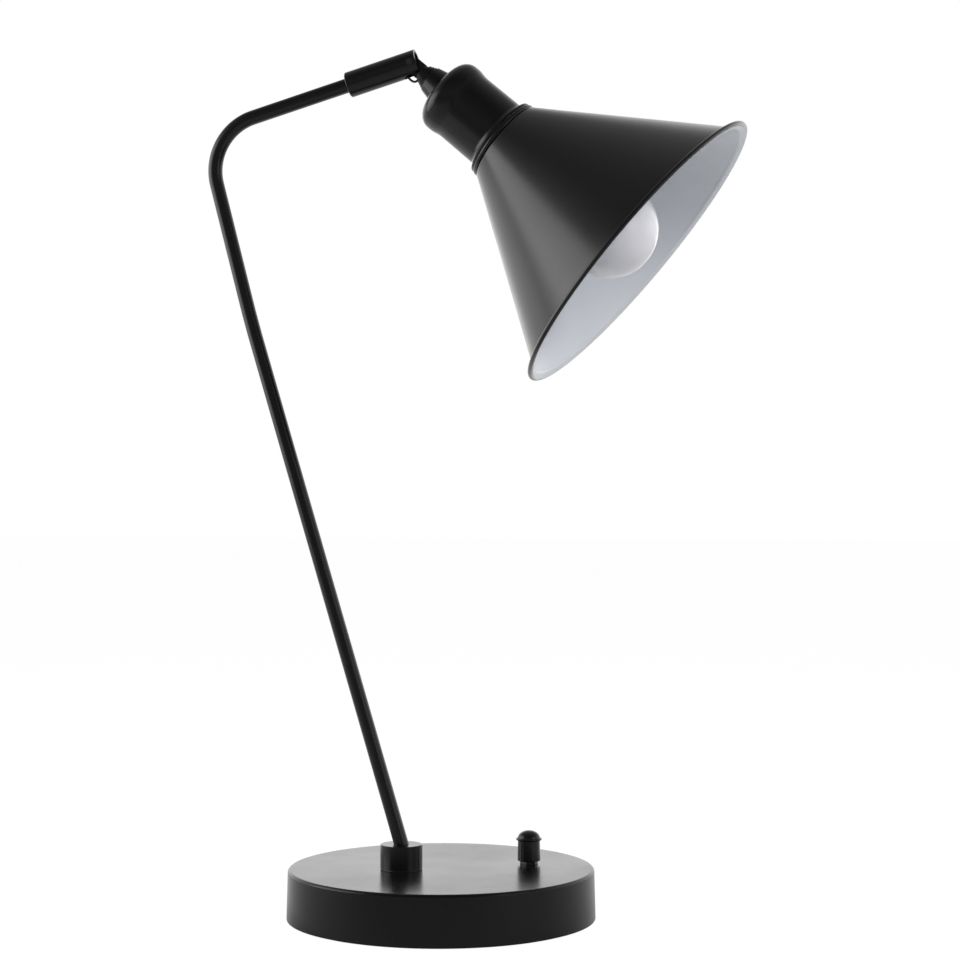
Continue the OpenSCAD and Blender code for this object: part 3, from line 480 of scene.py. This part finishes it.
# Sleeve. A turned tube that swivels on the arm's end, with a slot milled in its underside
# from the open end. A moulded bushing fills its back, and a grub screw keeps it on.
sleeve = softened("sleeve_skin", "sleeve", satin_black, 0.2)
seat(sleeve, "sleeve", "black_paint", "sleeve")
dress(moulded_black, "sleeve_bushing")
dress(black_nut, "keeper_screw", "tilt_pin", "tilt_washers")

# Lead across the joint. A thin sheathed lead leaves the slot, loops under the joint and goes into
# the stem.
joint_lead = softened("joint_lead_sheath", "joint_lead", sheath)
joint_lead.modifiers.clear()
joint_lead.data.set_sharp_from_angle(angle=math.radians(80))
round_lead = joint_lead.modifiers.new("round", "SUBSURF")
round_lead.levels = round_lead.render_levels = 1
bpy.context.view_layer.update()
smooth = bpy.data.meshes.new_from_object(
    joint_lead.evaluated_get(bpy.context.evaluated_depsgraph_get()))
joint_lead.modifiers.clear()
joint_lead.data = smooth
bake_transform(joint_lead)
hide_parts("joint_lead")

# Neck. A knuckle with a flat tongue, a round stem and three stepped rings, then a cone and a
# thin washer, all on one hollow nipple, sprayed black.
tilt = math.radians(40.4)
along_head = Vector((math.cos(tilt), 0, -math.sin(tilt)))
up_head = Vector((math.sin(tilt), 0, math.cos(tilt)))
side_head = along_head.cross(up_head)
head_turn = Matrix((up_head, side_head, along_head)).transposed().to_4x4()
head_place = Matrix.Translation(pivot) @ head_turn
knuckle = softened("knuckle_skin", "knuckle", satin_black, 0.15)
seat(knuckle, "head", "black_paint", "knuckle")
nipple_r, cone_start, cone_end, cup_start = 5.1, 15.6, 24.7, 25.5
cone_outline = eased([(nipple_r, cone_start), (8.6, cone_start, 0.25), (10.7, cone_end, 0.2),
                      (nipple_r, cone_end)])
neck_cone = turned("neck_cone_skin", cone_outline, satin_black, head_place, 96, True)
seat(neck_cone, "head", "black_paint", "neck_cone")
washer_outline = eased([(nipple_r, cone_end), (11.4, cone_end, 0.3), (11.4, cup_start, 0.3),
                        (nipple_r, cup_start)])
neck_washer = turned("neck_washer_skin", washer_outline, satin_black, head_place, 96, True)
seat(neck_washer, "head", "black_paint", "neck_washer")
dress(zinc, "head_nipple", "cup_nut")
dress(sheath, "head_lead")

# Socket cup. Spun steel, sprayed black: a flat top, a round shoulder, a waist and a flared
# flange that lies on the trim ring.


def curve_of(centre, radius, first, last, steps):
    """Points of an arc in radius and height, its angles in degrees."""
    angles = [math.radians(first + (last - first) * k / steps) for k in range(steps + 1)]
    return [Vector((centre[0] + radius * math.cos(a), centre[1] + radius * math.sin(a)))
            for a in angles]


def cup_line(inward):
    """The cup's side from its flat top to its flange, moved inward by a wall's thickness."""
    shoulder, waist, reach = 23.5, 22.4, 4.5
    corner, narrows, flare, flare_start = 8, 35.1, 4, 68.8
    half = 2 * math.degrees(math.atan((shoulder - waist) / 2 / reach))
    turn = reach / math.sin(math.radians(half))
    return (curve_of((shoulder - corner, cup_start + corner), corner - inward, -90, 0, 20)
            + curve_of((shoulder - turn, narrows), turn - inward, 0, half, 8)[1:]
            + curve_of((waist + turn, narrows + 2 * reach), turn + inward, 180 + half, 180, 8)[1:]
            + curve_of((waist + flare + 0.2, flare_start), flare + inward, 180, 96, 14))


cup_wall, cup_bore, cup_end, flange_r = 1.2, 5.05, 74, 26.2
flange = eased([(26, cup_end - cup_wall), (flange_r, cup_end - cup_wall, 0.3),
                (flange_r, cup_end, 0.3), (26, cup_end)])[1:-1]
cup_outline = [Vector((cup_bore, cup_start))] + cup_line(0) + flange + cup_line(cup_wall)[::-1] + [
    Vector((cup_bore, cup_start + cup_wall))]
cup = turned("socket_cup_skin", cup_outline, satin_black, head_place, 192, True)
seat(cup, "head", "black_paint", "socket_cup")

# Trim ring. A turned ring with a round bead, between the cup's flange and the shade.
ring_bore, ring_bead, shade_start = 19.65, 1.7, 77.9
ring_outline = [Vector((ring_bore, cup_end))] \
    + curve_of((25.2, cup_end + ring_bead), ring_bead, -90, 90, 12) \
    + [Vector((24.2, cup_end + 2 * ring_bead)), Vector((24.2, shade_start)),
       Vector((ring_bore, shade_start))]
trim = turned("trim_ring_skin", ring_outline, satin_black, head_place, 192, True)
seat(trim, "head", "black_paint", "trim_ring")

# Shade. A spun steel cone, sprayed satin black outside and white inside, whose rim turns out
# into a narrow lip and a rolled bead. A moulded ring clamps it to the lampholder.
outer = {"Top radius": 0.0272, "Cone radius": 0.0942, "Depth": 0.1075, "Lip width": 0.0042,
         "Lip rise": 0.0026, "Around": 257, "Along": 121}
cone, start, end = tree_of("spun_cone", outer)
grid = cone.nodes.new("GeometryNodeMeshGrid")
grid.inputs["Size X"].default_value = 1
grid.inputs["Size Y"].default_value = 1
cone.links.new(start.outputs["Around"], grid.inputs["Vertices X"])
cone.links.new(start.outputs["Along"], grid.inputs["Vertices Y"])
spot = cone.nodes.new("GeometryNodeInputPosition")
parts = cone.nodes.new("ShaderNodeSeparateXYZ")
cone.links.new(spot.outputs["Position"], parts.inputs["Vector"])


def sum_of(tree, kind, *values, clamp=False):
    """A Math node of one kind on sockets and plain numbers."""
    node = tree.nodes.new("ShaderNodeMath")
    node.operation = kind
    node.use_clamp = clamp
    for socket, value in zip(node.inputs, values):
        if isinstance(value, (int, float)):
            socket.default_value = value
        else:
            tree.links.new(value, socket)
    return node.outputs[0]


turn = sum_of(cone, "MULTIPLY", parts.outputs["X"], 2 * math.pi)
down = sum_of(cone, "ADD", parts.outputs["Y"], 0.5)
depth = sum_of(cone, "MULTIPLY", down, start.outputs["Depth"])
lip_start = sum_of(cone, "SUBTRACT", start.outputs["Depth"], start.outputs["Lip rise"])
run = sum_of(cone, "MINIMUM", depth, lip_start)
straight = sum_of(cone, "DIVIDE", run, lip_start, clamp=True)
past = sum_of(cone, "SUBTRACT", depth, lip_start)
lip = sum_of(cone, "DIVIDE", past, start.outputs["Lip rise"], clamp=True)
spread = sum_of(cone, "SUBTRACT", start.outputs["Cone radius"], start.outputs["Top radius"])
widening = sum_of(cone, "MULTIPLY", spread, straight)
radius = sum_of(cone, "ADD", start.outputs["Top radius"], widening)
left = sum_of(cone, "SUBTRACT", 1.0, sum_of(cone, "POWER", lip, 2.0), clamp=True)
round_off = sum_of(cone, "SUBTRACT", 1.0, sum_of(cone, "SQRT", left))
flick = sum_of(cone, "MULTIPLY", start.outputs["Lip width"], round_off)
radius = sum_of(cone, "ADD", radius, flick)
joined = cone.nodes.new("ShaderNodeCombineXYZ")
cone.links.new(sum_of(cone, "MULTIPLY", radius, sum_of(cone, "COSINE", turn)), joined.inputs["X"])
cone.links.new(sum_of(cone, "MULTIPLY", radius, sum_of(cone, "SINE", turn)), joined.inputs["Y"])
cone.links.new(depth, joined.inputs["Z"])
moved = cone.nodes.new("GeometryNodeSetPosition")
cone.links.new(grid.outputs["Mesh"], moved.inputs["Geometry"])
cone.links.new(joined.outputs["Vector"], moved.inputs["Position"])
closing(cone, start, end, moved.outputs["Geometry"])
shade_place = head_place @ Matrix.Translation((0, 0, 0.001 * shade_start))
# The white paint's colour is set grey and a little blue. This is painted shade and painted cool
# light for the dim, cool light inside the cone.
white_paint_painted_cool_shade = mottled("white_paint_painted_cool_shade", (0.61, 0.635, 0.68), (0.57, 0.595, 0.64), (0.3, 0.38), 1300,
                      0.00003)
outside = grown("shade_outside", bpy.data.meshes.new("cone_host"), cone, outer, satin_black)
inner = dict(outer, **{"Top radius": 0.0261, "Cone radius": 0.0931, "Depth": 0.1065})
inside = grown("shade_inside", bpy.data.meshes.new("cone_host"), cone, inner, white_paint_painted_cool_shade)
outside.data.transform(shade_place)
under_top = 0.0009
inside.data.transform(shade_place @ Matrix.Translation((0, 0, under_top)))
for cover in (outside, inside):
    shape = bmesh.new()
    shape.from_mesh(cover.data)
    bmesh.ops.remove_doubles(shape, verts=shape.verts, dist=1e-6)
    middle = shade_place @ Vector((0, 0, outer["Depth"] / 2))
    for face in shape.faces:
        away = (face.calc_center_median() - middle)
        away -= away.dot(along_head) * along_head
        if (face.normal.dot(away) < 0) == (cover is outside):
            face.normal_flip()
    shape.to_mesh(cover.data)
    shape.free()
seat(outside, "head", "black_paint", "shade")
seat(inside, "head", "shade_inside", "shade")
top_outline = eased([(20.0, shade_start), (27.0, shade_start, 0.3), (27.35, 78.3, 0.2),
                     (27.0, 78.7), (20.0, 78.8)])
shade_top = turned("shade_top", top_outline, satin_black, head_place, 192, True)
seat(shade_top, "head", "black_paint", "shade")

roll_sizes = {"Rim radius": 0.0982, "Bead radius": 0.0014, "Around": 256, "Sides": 24}
rim_r, rim_depth, white_from = roll_sizes["Rim radius"], 0.184, 0.0004
bead, start, end = tree_of("rolled_bead", roll_sizes)
rim_line = bead.nodes.new("GeometryNodeCurvePrimitiveCircle")
roll = bead.nodes.new("GeometryNodeCurvePrimitiveCircle")
rolled = bead.nodes.new("GeometryNodeCurveToMesh")
bead.links.new(start.outputs["Around"], rim_line.inputs["Resolution"])
bead.links.new(start.outputs["Rim radius"], rim_line.inputs["Radius"])
bead.links.new(start.outputs["Sides"], roll.inputs["Resolution"])
bead.links.new(start.outputs["Bead radius"], roll.inputs["Radius"])
bead.links.new(rim_line.outputs["Curve"], rolled.inputs["Curve"])
bead.links.new(roll.outputs["Curve"], rolled.inputs["Profile Curve"])
closing(bead, start, end, rolled.outputs["Mesh"])
rim = grown("shade_bead", bpy.data.meshes.new("bead_host"), bead, roll_sizes, satin_black)
rim.data.transform(head_place @ Matrix.Translation((0, 0, rim_depth)))
# The bead's inner faces take the same white, with its painted shade and painted cool light.
rim.data.materials.append(white_paint_painted_cool_shade)
for face in rim.data.polygons:
    spoke = head_place.inverted() @ face.center
    lean_in = rim_r - math.hypot(spoke.x, spoke.y)
    if lean_in + 0.4 * (spoke.z - rim_depth) > white_from:
        face.material_index = 1
seat(rim, "head", "black_paint", "shade")
moulded_white = mottled("moulded_white", (0.78, 0.78, 0.76), (0.72, 0.72, 0.7), (0.35, 0.45), 900)
dress(moulded_white, "shade_ring")

# Lampholder. A moulded cap on the nipple, a moulded body screwed to it, a brass screw shell
# and a riveted brass contact.
dress(moulded_black, "holder_cap")
dress(moulded_white, "holder_body")
dress(brass, "screw_shell", "centre_contact")

# Lamp. A blown opal glass on an aluminium screw cap, with a stem and a filament inside, and a
# contact in black glass at its tip.
# The opal glass is tinted a little blue. This is painted cool light on the lamp.
opal_painted_cool = mottled("opal_glass", (0.72, 0.72, 0.76), (0.69, 0.69, 0.73), (0.16, 0.2), 300, 0.00002,
               mottle=12)
gather = opal_painted_cool.node_tree.nodes["Principled BSDF"]
gather.inputs["Subsurface Weight"].default_value = 0.25
gather.inputs["Subsurface Radius"].default_value = (0.01, 0.01, 0.01)
gather.inputs["Subsurface Scale"].default_value = 0.3
bulb_centre, bulb_r, neck_r, sweep_r = 161.1, 29.7, 13.6, 40
centre_x = neck_r + sweep_r
fall = math.sqrt((sweep_r + bulb_r) ** 2 - centre_x ** 2)
joint_angle = math.degrees(math.atan2(fall, centre_x))
cap_seat, in_cap, cap_edge = 12.4, 101.3, 105.3
glass_outline = [Vector((cap_seat, in_cap)), Vector((cap_seat, cap_edge))] + curve_of(
    (centre_x, bulb_centre - fall), sweep_r, 180, 180 - joint_angle, 16) + curve_of(
    (0, bulb_centre), bulb_r, -joint_angle, 88, 40) + [Vector((0, bulb_centre + bulb_r))]
glass = turned("lamp_glass_skin", glass_outline, opal_painted_cool, head_place, 128)
seat(glass, "head", "opal_glass", "lamp_glass")
bright = mottled("bright_aluminium", (0.8, 0.8, 0.81), (0.72, 0.72, 0.74), (0.22, 0.34), 900,
                 0.00002, metal=1.0)
dress(bright, "lamp_cap")
dress(brass, "lamp_contact")
stem_glass = mottled("stem_glass", (0.8, 0.83, 0.83), (0.76, 0.8, 0.8), (0.05, 0.08), 200,
                     0.00001)
dress(stem_glass, "lamp_stem")

# The whole lamp.
bpy.context.view_layer.update()
